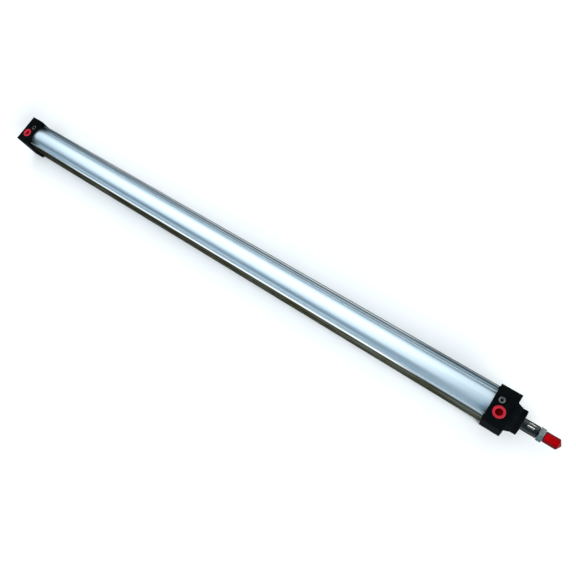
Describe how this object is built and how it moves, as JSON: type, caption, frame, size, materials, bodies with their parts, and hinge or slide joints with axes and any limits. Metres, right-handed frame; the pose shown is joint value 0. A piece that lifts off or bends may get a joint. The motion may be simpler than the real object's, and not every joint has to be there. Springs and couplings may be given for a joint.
{
  "type": "pneumatic cylinder",
  "caption": "Long-stroke double-acting pneumatic cylinder: square black end caps, round tube between tie rods, chromed rod with lock nut, red dust plugs.",
  "frame": {"origin": "centre of the front cap's mounting face, on the cylinder's axis", "axes": "+X along the axis towards the rod's end, +Z out of the face that holds the air ports, +Y to complete a right-handed frame"},
  "size_m": [1.0574, 0.052, 0.0533],
  "materials": {
    "black_paint": "matte black paint on die-cast aluminium",
    "anodised_tube": "satin hard-anodised",
    "zinc_steel": "rolled, zinc plated",
    "zinc_nut": "bright zinc plated",
    "hard_chrome": "ground and hard chromed",
    "red_plastic": "soft moulded plastic",
    "nickel_steel": "nickel plated",
    "seal_rubber": "moulded nitrile rubber",
    "sintered_bronze": "oil-filled sintered bronze",
    "turned_aluminium": "turned",
    "turned_steel": "turned",
    "magnet_ferrite": "ferrite-filled plastic",
    "guide_resin": "machined resin"
  },
  "bodies": {
    "barrel": {"front_cap": "black_paint", "rear_cap": "black_paint", "cylinder_tube": "anodised_tube", "upper_right_tie_rod": "zinc_steel", "upper_left_tie_rod": "zinc_steel", "lower_right_tie_rod": "zinc_steel", "lower_left_tie_rod": "zinc_steel", "front_tie_rod_nuts": "zinc_steel", "rear_tie_rod_nuts": "zinc_steel", "front_tube_o_ring": "seal_rubber", "rear_tube_o_ring": "seal_rubber", "front_cushion_seal": "seal_rubber", "rear_cushion_seal": "seal_rubber", "front_needle_retainer": "nickel_steel", "rear_needle_retainer": "nickel_steel", "rod_bush": "sintered_bronze", "rod_seal": "seal_rubber"},
    "piston_seals": {"front_piston_seal": "seal_rubber", "rear_piston_seal": "seal_rubber", "piston_wear_ring": "guide_resin"},
    "piston_and_rod": {"piston_rod": "hard_chrome", "front_piston_half": "turned_aluminium", "rear_piston_half": "turned_aluminium", "piston_magnet": "magnet_ferrite", "piston_o_ring": "seal_rubber", "front_cushion_sleeve": "turned_steel", "rear_cushion_spear": "turned_steel"},
    "rod_nut": {"rod_nut": "zinc_nut"},
    "thread_protector": {"thread_protector": "red_plastic"},
    "front_port_plug": {"front_port_plug": "red_plastic"},
    "rear_port_plug": {"rear_port_plug": "red_plastic"},
    "front_needle": {"front_cushion_needle": "nickel_steel", "front_needle_o_ring": "seal_rubber"},
    "rear_needle": {"rear_cushion_needle": "nickel_steel", "rear_needle_o_ring": "seal_rubber"}
  },
  "joints": [
    {"name": "rod_slide", "type": "slide", "parent": "barrel", "child": "piston_seals", "axis": [1, 0, 0], "range_m": [-0.0105, 0.8895]},
    {"name": "rod_turn", "type": "hinge", "parent": "piston_seals", "child": "piston_and_rod", "pos_m": [0.0355, 0, 0], "axis": [1, 0, 0], "continuous": true},
    {"name": "rod_nut_turn", "type": "hinge", "parent": "piston_and_rod", "child": "rod_nut", "pos_m": [0.0391, 0, 0], "axis": [1, 0, 0], "continuous": true},
    {"name": "thread_protector_pull", "type": "slide", "parent": "piston_and_rod", "child": "thread_protector", "axis": [1, 0, 0], "range_m": [0, 0.03]},
    {"name": "front_plug_pull", "type": "slide", "parent": "barrel", "child": "front_port_plug", "axis": [0, 0, 1], "range_m": [0, 0.02]},
    {"name": "front_needle_turn", "type": "hinge", "parent": "barrel", "child": "front_needle", "pos_m": [-0.018, 0.0082, 0.018], "axis": [0, 0, 1], "range_deg": [-540, 720]},
    {"name": "rear_plug_pull", "type": "slide", "parent": "barrel", "child": "rear_port_plug", "axis": [0, 0, 1], "range_m": [0, 0.02]},
    {"name": "rear_needle_turn", "type": "hinge", "parent": "barrel", "child": "rear_needle", "pos_m": [-0.975, 0.0082, 0.018], "axis": [0, 0, 1], "range_deg": [-540, 720]}
  ]
}
